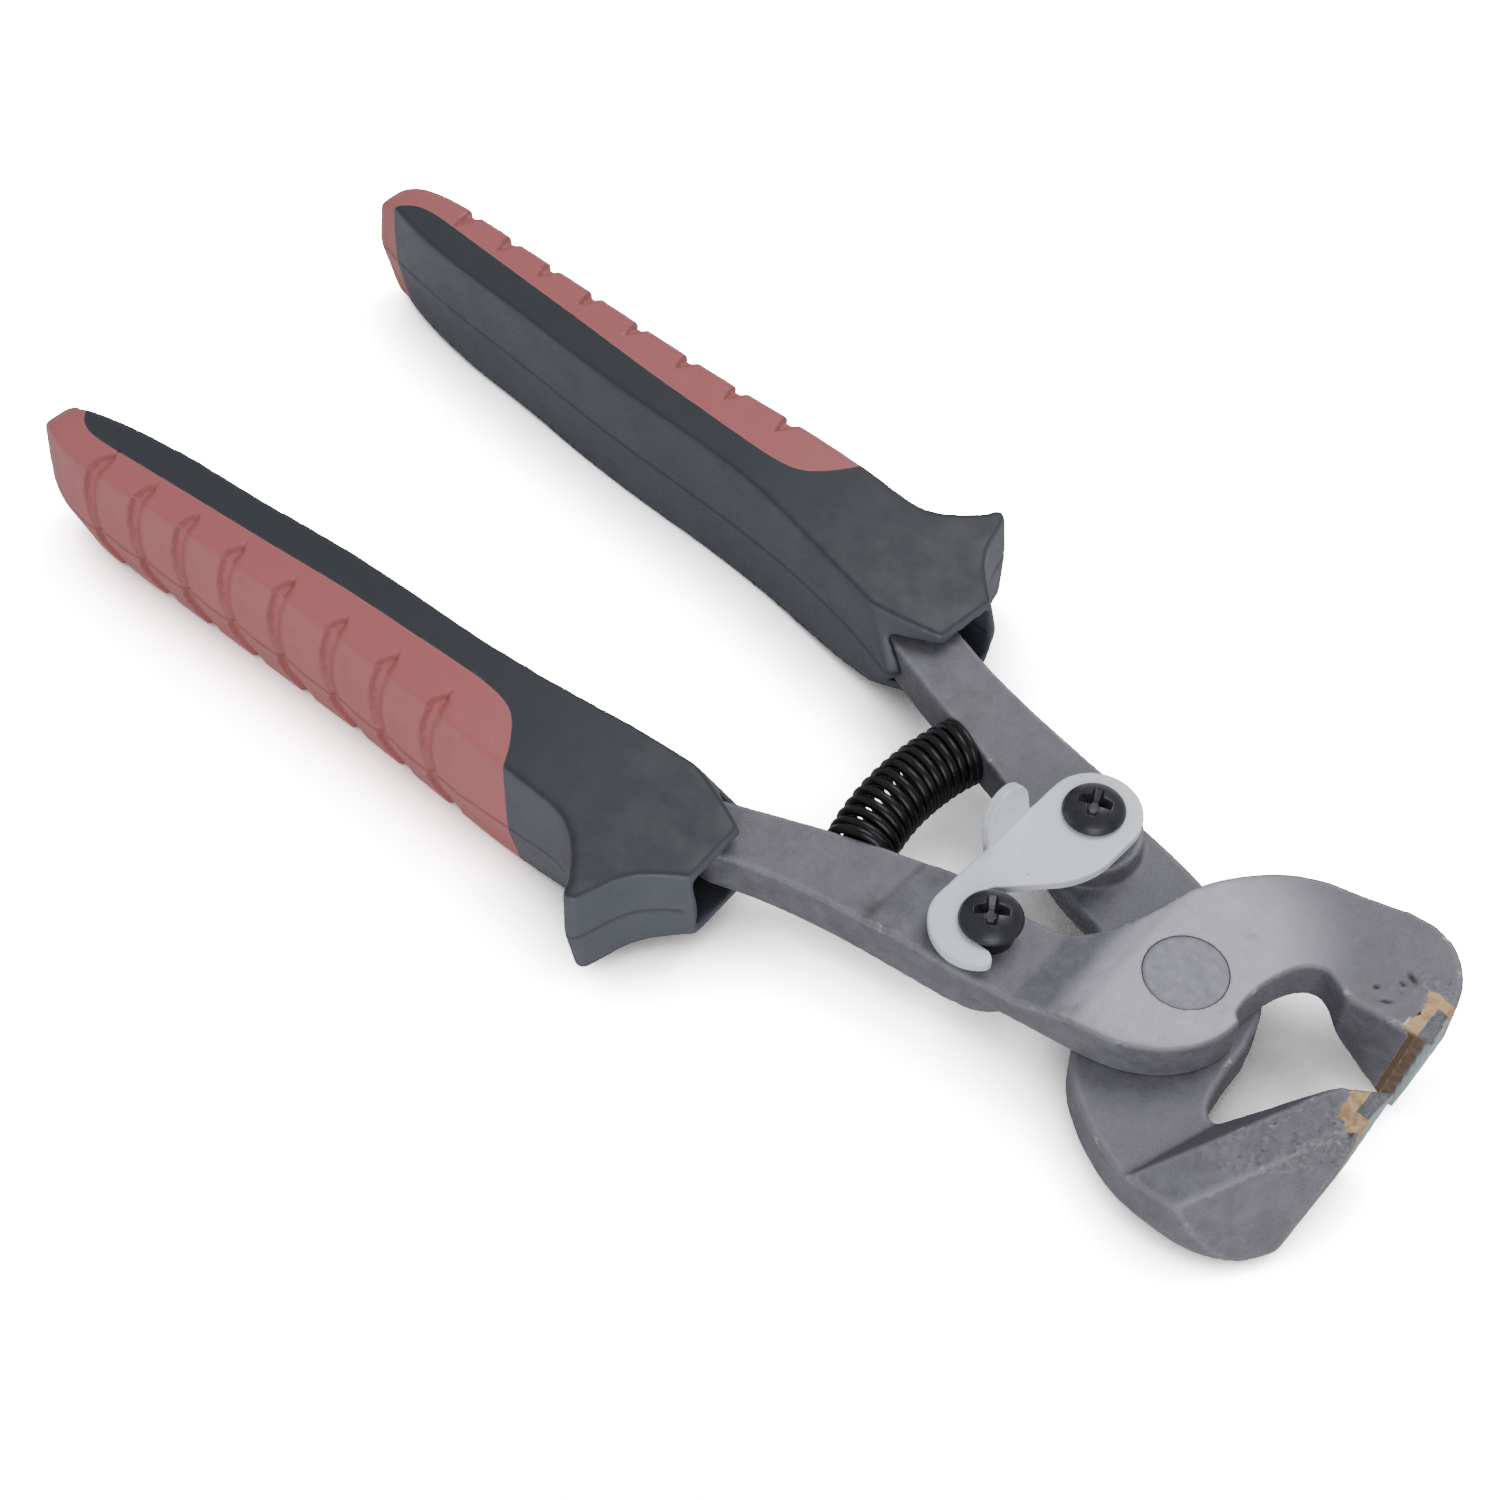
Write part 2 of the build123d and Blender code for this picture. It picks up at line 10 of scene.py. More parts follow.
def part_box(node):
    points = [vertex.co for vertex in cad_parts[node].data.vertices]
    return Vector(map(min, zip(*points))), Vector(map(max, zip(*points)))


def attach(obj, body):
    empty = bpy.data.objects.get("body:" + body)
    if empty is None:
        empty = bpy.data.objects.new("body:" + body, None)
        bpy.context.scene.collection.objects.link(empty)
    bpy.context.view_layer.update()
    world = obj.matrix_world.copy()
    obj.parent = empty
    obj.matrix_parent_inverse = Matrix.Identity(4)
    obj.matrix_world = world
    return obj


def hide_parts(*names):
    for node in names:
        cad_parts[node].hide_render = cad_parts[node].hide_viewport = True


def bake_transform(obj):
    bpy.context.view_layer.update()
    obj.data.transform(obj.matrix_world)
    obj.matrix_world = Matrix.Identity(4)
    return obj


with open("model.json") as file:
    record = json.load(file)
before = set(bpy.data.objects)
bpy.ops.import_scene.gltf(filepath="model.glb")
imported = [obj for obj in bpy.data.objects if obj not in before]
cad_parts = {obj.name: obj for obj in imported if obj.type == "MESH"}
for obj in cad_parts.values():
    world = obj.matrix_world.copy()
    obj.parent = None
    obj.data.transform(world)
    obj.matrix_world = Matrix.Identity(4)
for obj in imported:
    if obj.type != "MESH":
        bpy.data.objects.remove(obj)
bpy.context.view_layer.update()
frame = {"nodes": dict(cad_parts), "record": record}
nodes = frame["nodes"]
joints = {j["name"]: j for j in frame["record"]["behaviour"]["joints"]}
PIVOT = np.array(joints["arms_hinge"]["pos_m"]) * 1000.0

# Everything is shaped in millimetres about the rivet: X to the jaws, Y to the rear handle, Z up.
VOXEL = 0.26
GRIP_VOXEL = 0.3

# Inside the grips' mouths the bare arm ends a little past where the grips' filled tangs begin.
ARM_END_X = -68.0
TANG_START_X = -66.0


# ---------------------------------------------------------------- mesh helpers
def cad_mesh(*names):
    """One bmesh of the named CAD nodes' surfaces, in millimetres about the rivet."""
    bm = bmesh.new()
    for name in names:
        bm.from_mesh(nodes[name].data)
    bmesh.ops.remove_doubles(bm, verts=bm.verts, dist=1e-6)
    bmesh.ops.scale(bm, vec=(1000,) * 3, verts=bm.verts)
    bmesh.ops.translate(bm, vec=Vector(-PIVOT), verts=bm.verts)
    return bm


def clip(bm, x, keep_above=True):
    """Cut a closed bmesh at a plane across X and close the cut."""
    geometry = bm.verts[:] + bm.edges[:] + bm.faces[:]
    cut = bmesh.ops.bisect_plane(
        bm, geom=geometry, plane_co=(x, 0, 0), plane_no=(1, 0, 0),
        clear_inner=keep_above, clear_outer=not keep_above,
    )
    edges = [e for e in cut["geom_cut"] if isinstance(e, bmesh.types.BMEdge)]
    bmesh.ops.holes_fill(bm, edges=edges)


def to_object(bm, name):
    mesh = bpy.data.meshes.new(name)
    bmesh.ops.triangulate(bm, faces=[f for f in bm.faces if len(f.verts) > 4])
    bm.to_mesh(mesh)
    bm.free()
    obj = bpy.data.objects.new(name, mesh)
    bpy.context.scene.collection.objects.link(obj)
    return obj


def from_arrays(name, verts, faces):
    mesh = bpy.data.meshes.new(name)
    mesh.from_pydata([tuple(v) for v in verts], [], [tuple(int(i) for i in f) for f in faces])
    mesh.update()
    obj = bpy.data.objects.new(name, mesh)
    bpy.context.scene.collection.objects.link(obj)
    return obj


def closed_mesh(name, verts, faces, split=True):
    """A closed mesh with its faces turned outwards, cut into triangles where split is true."""
    obj = from_arrays(name, verts, faces)
    bm = bmesh.new()
    bm.from_mesh(obj.data)
    bmesh.ops.recalc_face_normals(bm, faces=bm.faces)
    if split:
        bmesh.ops.triangulate(bm, faces=bm.faces)
    bm.to_mesh(obj.data)
    bm.free()
    return obj


def bake(obj):
    """Apply an object's modifiers."""
    bpy.context.view_layer.update()
    graph = bpy.context.evaluated_depsgraph_get()
    mesh = bpy.data.meshes.new_from_object(obj.evaluated_get(graph))
    obj.modifiers.clear()
    obj.data = mesh


def discard(*objs):
    for o in objs:
        bpy.data.objects.remove(o, do_unlink=True)


def get_points(mesh):
    co = np.zeros(len(mesh.vertices) * 3)
    mesh.vertices.foreach_get("co", co)
    return co.reshape(-1, 3)


def set_points(mesh, co):
    mesh.vertices.foreach_set("co", np.asarray(co, np.float32).ravel())
    mesh.update()


def get_normals(mesh):
    n = np.zeros(len(mesh.vertices) * 3)
    mesh.vertex_normals.foreach_get("vector", n)
    return n.reshape(-1, 3)


def get_edges(mesh):
    e = np.zeros(len(mesh.edges) * 2, np.int64)
    mesh.edges.foreach_get("vertices", e)
    return e.reshape(-1, 2)


def neighbour_mean(co, edges, degree):
    total = np.zeros_like(co)
    for k in range(co.shape[1]):
        total[:, k] += np.bincount(edges[:, 0], co[edges[:, 1], k], len(co))
        total[:, k] += np.bincount(edges[:, 1], co[edges[:, 0], k], len(co))
    return total / degree[:, None]


def largest_piece(obj):
    """Drop the loose shells a remesh can leave inside."""
    mesh = obj.data
    edges = get_edges(mesh)
    label = np.arange(len(mesh.vertices))
    while True:
        low = np.minimum(label[edges[:, 0]], label[edges[:, 1]])
        new = label.copy()
        np.minimum.at(new, edges[:, 0], low)
        np.minimum.at(new, edges[:, 1], low)
        new = new[new]
        if np.array_equal(new, label):
            break
        label = new
    keep = np.bincount(label).argmax()
    if (label == keep).all():
        return
    bm = bmesh.new()
    bm.from_mesh(mesh)
    bm.verts.ensure_lookup_table()
    bmesh.ops.delete(bm, geom=[bm.verts[i] for i in np.nonzero(label != keep)[0]], context="VERTS")
    bm.to_mesh(mesh)
    bm.free()


def remesh(obj, voxel):
    """Turn overlapping closed shells into one evenly meshed skin."""
    modifier = obj.modifiers.new("skin", "REMESH")
    modifier.mode = "VOXEL"
    modifier.voxel_size = voxel
    modifier.use_smooth_shade = True
    bake(obj)
    largest_piece(obj)


def smooth(obj, rounds, strength=None, rate=0.5):
    """Round every edge. strength gives each point a number from 0 to 1, and holds some places crisp."""
    mesh = obj.data
    co = get_points(mesh)
    edges = get_edges(mesh)
    degree = np.bincount(edges.ravel(), minlength=len(co)).astype(float)
    weight = rate if strength is None else rate * strength(co)[:, None]
    for _ in range(rounds):
        co = co + weight * (neighbour_mean(co, edges, degree) - co)
    set_points(mesh, co)


def boolean(obj, other, operation):
    """Cut obj with other, or keep only what they share."""
    modifier = obj.modifiers.new("cut", "BOOLEAN")
    modifier.operation = operation
    modifier.object = other
    modifier.solver = "MANIFOLD"
    before = len(obj.data.polygons)
    bake(obj)
    if len(obj.data.polygons) == 0:
        raise RuntimeError(f"{obj.name}: the cut left nothing of {before} faces")


def duplicate(obj, name):
    other = bpy.data.objects.new(name, obj.data.copy())
    bpy.context.scene.collection.objects.link(other)
    return other


def prism(name, outline, low, high):
    """A closed prism over a plan outline."""
    count = len(outline)
    verts = [(x, y, low) for x, y in outline] + [(x, y, high) for x, y in outline]
    faces = [tuple(range(count))[::-1], tuple(range(count, 2 * count))]
    faces += [(i, (i + 1) % count, count + (i + 1) % count, count + i) for i in range(count)]
    return closed_mesh(name, verts, faces)


def turned(name, profile, centre, steps=96):
    """A solid of revolution about a vertical axis through centre.

    The profile is (radius, height) pairs that start and end on the axis.
    """
    verts, faces = [], []
    rings = []
    for radius, height in profile:
        if radius < 1e-6:
            rings.append([len(verts)])
            verts.append((centre[0], centre[1], height))
            continue
        rings.append(list(range(len(verts), len(verts) + steps)))
        for k in range(steps):
            angle = 2 * math.pi * k / steps
            verts.append((centre[0] + radius * math.cos(angle), centre[1] + radius * math.sin(angle), height))
    for below, above in zip(rings, rings[1:]):
        for k in range(steps):
            n = (k + 1) % steps
            if len(below) == 1:
                faces.append((below[0], above[n], above[k]))
            elif len(above) == 1:
                faces.append((below[k], below[n], above[0]))
            else:
                faces.append((below[k], below[n], above[n], above[k]))
    return from_arrays(name, verts, faces)


def bumps(co, size, seed, octaves=3):
    """Fractal noise at every point, roughly from -1 to 1; size is the largest lump in millimetres."""
    shift = Vector((seed * 17.3, seed * 5.1, seed * 9.7))
    return np.array([noise.fractal(Vector(p) / size + shift, 1.0, 2.0, octaves) for p in co])


def ramp(value, low, high):
    t = np.clip((value - low) / (high - low), 0, 1)
    return t * t * (3 - 2 * t)


def attribute(mesh, name, values):
    layer = mesh.attributes.get(name) or mesh.attributes.new(name, "FLOAT", "POINT")
    layer.data.foreach_set("value", np.asarray(values, np.float32))


def edge_attribute(obj, rounds, scale):
    """How convex the surface is at each vertex, for worn edges and a painted edge highlight; scale in
    millimetres is a full edge.
    """
    mesh = obj.data
    co = get_points(mesh)
    normals = get_normals(mesh)
    edges = get_edges(mesh)
    degree = np.maximum(np.bincount(edges.ravel(), minlength=len(co)), 1).astype(float)
    wide = co
    for _ in range(rounds):
        wide = neighbour_mean(wide, edges, degree)
    convex = ((co - wide) * normals).sum(1)
    attribute(mesh, "edge", np.clip(convex / scale, -1, 1))


def shade(obj, angle):
    """Smooth shading, with a crease where faces meet at more than angle degrees."""
    mesh = obj.data
    mesh.polygons.foreach_set("use_smooth", [True] * len(mesh.polygons))
    mesh.set_sharp_from_angle(angle=math.radians(angle))
    mesh.update()


def place(obj, body, material, slot, *replaced):
    """Move a finished piece from millimetres about the rivet into the row frame and onto its body."""
    mesh = obj.data
    mesh.transform(Matrix.Diagonal((0.001, 0.001, 0.001, 1.0)))
    mesh.transform(Matrix.Translation(Vector(PIVOT / 1000.0)))
    mesh.materials.clear()
    mesh.materials.append(material)
    mesh.update()
    if body:
        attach(obj, body)
    if replaced:
        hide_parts(*replaced)


# ---------------------------------------------------------------- materials
def linear(rgb):
    return tuple((c / 255 / 12.92) if c <= 10 else ((c / 255 + 0.055) / 1.055) ** 2.4 for c in rgb) + (1.0,)


def shaded(rgb, share):
    """A colour made lighter or darker, held under white."""
    return tuple(min(255, int(c * share)) for c in rgb)


class Look:
    """A small builder for one node material; millimetre object coordinates come from self.mm."""

    def __init__(self, name):
        self.material = bpy.data.materials.new(name)
        self.material.use_nodes = True
        self.tree = self.material.node_tree
        self.tree.nodes.clear()
        self.shader = self.new("ShaderNodeBsdfPrincipled")
        self.surface = self.new("ShaderNodeOutputMaterial").inputs["Surface"]
        self.join(self.shader.outputs["BSDF"], self.surface)
        place_node = self.new("ShaderNodeTexCoord")
        scale = self.new("ShaderNodeVectorMath")
        scale.operation = "SCALE"
        scale.inputs["Scale"].default_value = 1000.0
        self.join(place_node.outputs["Object"], scale.inputs[0])
        self.mm = scale.outputs["Vector"]

    def new(self, kind):
        return self.tree.nodes.new(kind)

    def join(self, a, b):
        self.tree.links.new(a, b)

    def set(self, **values):
        for key, value in values.items():
            self.shader.inputs[key.replace("_", " ")].default_value = value

    def noise(self, size, detail=4.0, rough=0.55, stretch=None, distortion=0.0):
        source = self.mm
        if stretch:
            mapping = self.new("ShaderNodeMapping")
            mapping.inputs["Scale"].default_value = stretch
            self.join(source, mapping.inputs["Vector"])
            source = mapping.outputs["Vector"]
        n = self.new("ShaderNodeTexNoise")
        n.inputs["Scale"].default_value = 1.0 / size
        n.inputs["Detail"].default_value = detail
        n.inputs["Roughness"].default_value = rough
        n.inputs["Distortion"].default_value = distortion
        self.join(source, n.inputs["Vector"])
        return n.outputs["Fac"]

    def cells(self, size):
        n = self.new("ShaderNodeTexVoronoi")
        n.inputs["Scale"].default_value = 1.0 / size
        self.join(self.mm, n.inputs["Vector"])
        return n.outputs["Distance"]

    def named(self, name):
        n = self.new("ShaderNodeAttribute")
        n.attribute_name = name
        return n.outputs["Fac"]

    def range(self, value, low, high, out_low=0.0, out_high=1.0):
        n = self.new("ShaderNodeMapRange")
        n.clamp = True
        n.interpolation_type = "SMOOTHSTEP"
        for key, number in (("From Min", low), ("From Max", high), ("To Min", out_low), ("To Max", out_high)):
            n.inputs[key].default_value = number
        self.join(value, n.inputs["Value"])
        return n.outputs["Result"]

    def math(self, operation, a, b):
        n = self.new("ShaderNodeMath")
        n.operation = operation
        for socket, value in zip(n.inputs, (a, b)):
            if isinstance(value, (int, float)):
                socket.default_value = value
            else:
                self.join(value, socket)
        return n.outputs["Value"]

    def mix(self, factor, a, b):
        n = self.new("ShaderNodeMix")
        n.data_type = "RGBA"
        if isinstance(factor, (int, float)):
            n.inputs[0].default_value = factor
        else:
            self.join(factor, n.inputs[0])
        for socket, value in ((n.inputs[6], a), (n.inputs[7], b)):
            if isinstance(value, tuple):
                socket.default_value = value
            else:
                self.join(value, socket)
        return n.outputs[2]

    def colour(self, value):
        self.join(value, self.shader.inputs["Base Color"])

    def rough(self, value):
        self.join(value, self.shader.inputs["Roughness"])

    def bump(self, *heights):
        """Each height is (value, millimetres)."""
        previous = None
        for value, depth in heights:
            n = self.new("ShaderNodeBump")
            n.inputs["Strength"].default_value = 1.0
            n.inputs["Distance"].default_value = depth / 1000.0
            self.join(value, n.inputs["Height"])
            if previous is not None:
                self.join(previous, n.inputs["Normal"])
            previous = n.outputs["Normal"]
        self.join(previous, self.shader.inputs["Normal"])


def steel_look():
    look = Look("forged_steel")
    look.set(Metallic=0.4)
    grain = look.noise(0.32, 6, 0.72)
    mottle = look.noise(2.6, 5, 0.62)
    cloud = look.noise(13.0, 3, 0.5, distortion=0.5)
    base = look.mix(look.range(mottle, 0.3, 0.72), linear((120, 119, 127)), linear((138, 138, 146)))
    base = look.mix(look.range(cloud, 0.48, 0.75, 0, 0.3), base, linear((112, 110, 116)))
    # Painted highlight: the head's top round the rivet is made much lighter.
    base = look.mix(look.math("MULTIPLY", look.named("plate"), 0.9), base, linear((208, 207, 218)))
    base = look.mix(look.range(grain, 0.52, 0.76, 0, 0.34), base, linear((176, 176, 183)))
    base = look.mix(look.range(grain, 0.46, 0.28, 0, 0.3), base, linear((92, 91, 97)))
    warm = look.noise(6.0, 4, 0.6)
    base = look.mix(look.range(warm, 0.58, 0.75, 0, 0.3), base, linear((122, 108, 104)))
    base = look.mix(look.math("MULTIPLY", look.named("bevel"), 0.85), base, linear((104, 104, 111)))
    # Painted shade: a dark line along the small crease in the front arm's top, with a dark blot beside it.
    base = look.mix(look.math("MULTIPLY", look.named("crease_shade_and_blot"), 0.7), base, linear((66, 62, 62)))
    # Painted highlight: a lighter colour along every convex edge.
    rim = look.math("MULTIPLY", look.range(look.named("edge"), 0.1, 0.6), 0.22)
    base = look.mix(rim, base, linear((184, 184, 190)))
    patches = look.range(look.noise(3.4, 5, 0.7), 0.58, 0.68)
    wear = look.math("MULTIPLY", look.range(look.named("edge"), 0.2, 0.8), patches)
    base = look.mix(look.math("MULTIPLY", wear, 0.85), base, linear((208, 208, 212)))
    pits = look.math("MULTIPLY", look.named("pitted"), look.range(look.noise(0.9, 4, 0.7), 0.58, 0.68))
    base = look.mix(look.math("MULTIPLY", pits, 0.55), base, linear((66, 66, 70)))
    # Darker in each nick.
    base = look.mix(look.math("MULTIPLY", look.named("nick_dark"), 0.9), base, linear((44, 42, 44)))
    look.colour(base)
    dull = look.range(mottle, 0.3, 0.7, 0.5, 0.62)
    look.rough(look.math("SUBTRACT", dull, look.math("MULTIPLY", wear, 0.2)))
    scratches = look.noise(0.16, 3, 0.6, stretch=(0.15, 1.0, 1.0))
    ground_off = look.math("MULTIPLY", look.named("bevel"), 0.7)
    rough_grain = look.math("MULTIPLY", grain, look.math("SUBTRACT", 1.0, ground_off))
    look.bump((rough_grain, 0.055), (scratches, 0.01), (look.noise(1.2, 3, 0.6), 0.03))
    return look.material


def plain_metal(name, dark, light, metallic, rough_low, rough_high, grain_size, grain_depth):
    look = Look(name)
    look.set(Metallic=metallic)
    mottle = look.noise(2.0, 5, 0.6)
    look.colour(look.mix(look.range(mottle, 0.35, 0.65), linear(dark), linear(light)))
    look.rough(look.range(look.noise(1.1, 4, 0.6), 0.3, 0.7, rough_low, rough_high))
    look.bump((look.noise(grain_size, 4, 0.6), grain_depth))
    return look.material


def zinc_look():
    look = Look("zinc_plate")
    look.set(Metallic=0.12)
    streaks = look.noise(0.9, 4, 0.6, stretch=(1.0, 0.3, 1.0))
    specks = look.cells(1.7)
    base = look.mix(look.range(streaks, 0.3, 0.7), linear((238, 245, 252)), linear((248, 252, 255)))
    groups = look.range(look.noise(6.0, 2, 0.5), 0.55, 0.65)
    spots = look.math("MULTIPLY", look.range(specks, 0.05, 0.12, 1, 0), groups)
    base = look.mix(look.math("MULTIPLY", spots, 0.6), base, linear((120, 125, 132)))
    look.colour(base)
    look.rough(look.range(streaks, 0.3, 0.7, 0.3, 0.42))
    look.bump((streaks, 0.006), (look.noise(0.25, 3, 0.6), 0.006))
    return look.material


def carbide_look():
    look = Look("carbide")
    look.set(Metallic=0.35)
    grain = look.noise(0.3, 5, 0.7)
    base = look.mix(look.range(grain, 0.35, 0.65), linear((92, 95, 100)), linear((122, 125, 130)))
    heat = look.range(look.noise(1.2, 4, 0.6), 0.4, 0.6)
    brown = look.mix(heat, linear((136, 116, 96)), linear((118, 98, 80)))
    base = look.mix(look.named("stain"), base, brown)
    base = look.mix(look.named("ground"), base, linear((176, 192, 196)))
    look.colour(base)
    look.rough(look.math("SUBTRACT", 0.55, look.math("MULTIPLY", look.named("ground"), 0.2)))
    look.bump((grain, 0.02), (look.noise(1.0, 4, 0.6), 0.05))
    return look.material


def braze_look():
    look = Look("braze")
    look.set(Metallic=0.35)
    blotch = look.noise(0.8, 5, 0.65)
    base = look.mix(look.range(blotch, 0.4, 0.62), linear((184, 148, 108)), linear((214, 180, 138)))
    look.colour(look.mix(look.named("stain"), base, linear((122, 100, 78))))
    look.rough(look.range(blotch, 0.3, 0.7, 0.4, 0.6))
    look.bump((blotch, 0.03), (look.noise(0.25, 4, 0.6), 0.01))
    return look.material


def grip_look(name, dark, light, flat, rough, grain_depth):
    look = Look(name)
    look.set(Metallic=0.0)
    cloud = look.noise(14.0, 4, 0.55)
    fine = look.noise(0.28, 3, 0.6)
    base = look.mix(look.range(cloud, 0.3, 0.7), linear(dark), linear(light))
    # Painted shade: faces that look up or down take the flat colour, darker than the sides.
    base = look.mix(look.math("MULTIPLY", look.named("flat"), 0.8), base, linear(flat))
    scuff = look.range(look.noise(3.0, 6, 0.75), 0.66, 0.74, 0, 0.35)
    base = look.mix(scuff, base, linear(shaded(light, 1.25)))
    # The line attribute darkens the parting line and paints shade along the grooves' steps.
    line = look.named("line")
    look.colour(look.mix(look.math("MULTIPLY", line, 0.6), base, linear(shaded(dark, 0.5))))
    look.rough(look.range(look.noise(4.0, 4, 0.6), 0.3, 0.7, rough - 0.05, rough + 0.07))
    look.bump((fine, grain_depth), (look.noise(2.5, 3, 0.5), 0.03))
    return look.material


STEEL = steel_look()
RIVET = plain_metal("rivet_steel", (148, 147, 157), (162, 161, 172), 0.4, 0.5, 0.6, 0.3, 0.03)
BLACK_STEEL = plain_metal("black_steel", (30, 30, 33), (44, 44, 48), 0.35, 0.2, 0.3, 0.3, 0.006)
ZINC = zinc_look()
CARBIDE = carbide_look()
BRAZE = braze_look()
SPRING_STEEL = plain_metal("spring_steel", (24, 24, 26), (34, 34, 37), 0.3, 0.22, 0.34, 0.4, 0.006)
SCREW = plain_metal("black_screw", (60, 60, 65), (70, 70, 76), 0.5, 0.26, 0.36, 0.5, 0.003)
# Each grip's third colour is painted shade, for the faces that look up or down.
BLACK_GRIP = grip_look("black_grip", (86, 89, 98), (92, 95, 104), (40, 42, 49), 0.46, 0.01)
RED_GRIP = grip_look("red_grip", (196, 112, 113), (201, 117, 118), (192, 107, 108), 0.42, 0.008)


# ---------------------------------------------------------------- forged arms
JAW_REACH = 26.6
JAW_TOP, JAW_BOTTOM, JAW_LEAN = 7.2, -8.7, 1.6
RIVET_HOLE = 5.09
PLUG_RADIUS = 5.6
PLUG_HEIGHTS = {"rear": (-6.37, -0.1), "front": (0.1, 6.37)}
EDGE_Y = {"rear": 1.5, "front": 9.3}
BEVELS = {
    "rear": ((8.0, -24.0, 0.0), (21.5, -1.7, 7.0), (12.5, -10.4, 0.0)),
    "front": ((11.0, 23.5, 0.0), (21.6, 11.5, -7.2), (14.0, 10.4, 0.0)),
}


def front_x(z):
    """Where the ground front of the jaws stands at a height."""
    return JAW_REACH - JAW_LEAN * (JAW_TOP - z) / (JAW_TOP - JAW_BOTTOM)


def arm_skin(side):
    """Whole arm with its tip and braze and the rivet hole filled, meshed evenly, edges rounded and forged."""
    bm = cad_mesh(f"{side}_arm", f"carbide_tip_{side}", f"braze_{side}")
    clip(bm, ARM_END_X)
    arm = to_object(bm, f"{side}_arm_skin")
    bottom, top = PLUG_HEIGHTS[side]
    plug = turned("plug", [(0, bottom), (PLUG_RADIUS, bottom), (PLUG_RADIUS, top), (0, top)], (0, 0))
    bm = bmesh.new()
    bm.from_mesh(arm.data)
    bm.from_mesh(plug.data)
    bm.to_mesh(arm.data)
    bm.free()
    discard(plug)
    remesh(arm, VOXEL)

    def give(co):
        """Edges near the cutting edge stay crisp."""
        from_edge = np.hypot(co[:, 0] - front_x(co[:, 2]), co[:, 1] - EDGE_Y[side])
        return 0.2 + 0.8 * ramp(from_edge, 1.5, 5.0)

    smooth(arm, 9, give)
    co = get_points(arm.data)
    normals = get_normals(arm.data)
    calm = ramp(np.hypot(co[:, 0], co[:, 1]), 5.5, 9.0) * ramp(np.abs(co[:, 2]), 0.3, 1.2)
    crest = crest_mask(co, side)
    wave = 0.045 * bumps(co, 7.0, 1) + 0.03 * bumps(co, 1.5, 2)
    pits = -0.14 * ramp(bumps(co, 1.3, 3, 4), 0.3, 0.7) * crest + 0.05 * bumps(co, 0.9, 4) * crest
    flat = bevel_mask(co, normals, side)
    set_points(arm.data, co + normals * (calm * wave * (1 - 0.7 * flat) + pits * (1 - flat))[:, None])
    return arm


def crest_mask(co, side):
    """1 on the pitted band behind the cutting edge, where the jaw was ground and brazed."""
    if side == "rear":
        start, end = np.array([9.0, -22.5]), np.array([25.5, -5.0])
    else:
        start, end = np.array([15.5, 12.5]), np.array([26.0, 15.5])
    axis = end - start
    t = np.clip(((co[:, :2] - start) @ axis) / (axis @ axis), 0, 1)
    away = np.hypot(*(co[:, :2] - start - t[:, None] * axis).T)
    width = 1.2 + 3.2 * t
    return ramp(away, width * 1.3, width * 0.6) * ramp(co[:, 2], 1.0, 3.0) * ramp(t, 0.1, 0.6)


def bevel_mask(co, normals, side):
    """1 on the ground plane that leads into the throat on one jaw's top, or under the other's."""
    a, b, c = (Vector(p) for p in BEVELS[side])
    plane = (b - a).cross(c - a).normalized()
    if plane.z < 0 if side == "rear" else plane.z > 0:
        plane = -plane
    facing = ramp(normals @ np.array(plane), 0.93, 0.985)
    gap = np.abs((co - np.array(a)) @ np.array(plane))
    return facing * ramp(gap, 1.2, 0.5) * ramp(co[:, 0], 7.0, 9.0)


# Dark nicks on the jaws' tops: centre x and y, half length, half width, turn in radians.
MARKS = [
    (20.1, 15.8, 0.9, 0.28, -0.5),
    (19.7, 14.4, 0.5, 0.22, -0.3),
    (19.5, 11.2, 0.8, 0.22, 0.5),
    (17.6, 12.3, 0.35, 0.3, 0),
    (23.6, 12.3, 0.6, 0.3, 0.9),
    (25.3, -4.9, 0.7, 0.35, -0.8),
    (23.9, -2.6, 0.5, 0.25, 0.4),
    (22.4, -0.9, 0.45, 0.3, 0.2),
]
BETWEEN_JAWS_Y = 5.5
NICK_DEPTH = 0.22


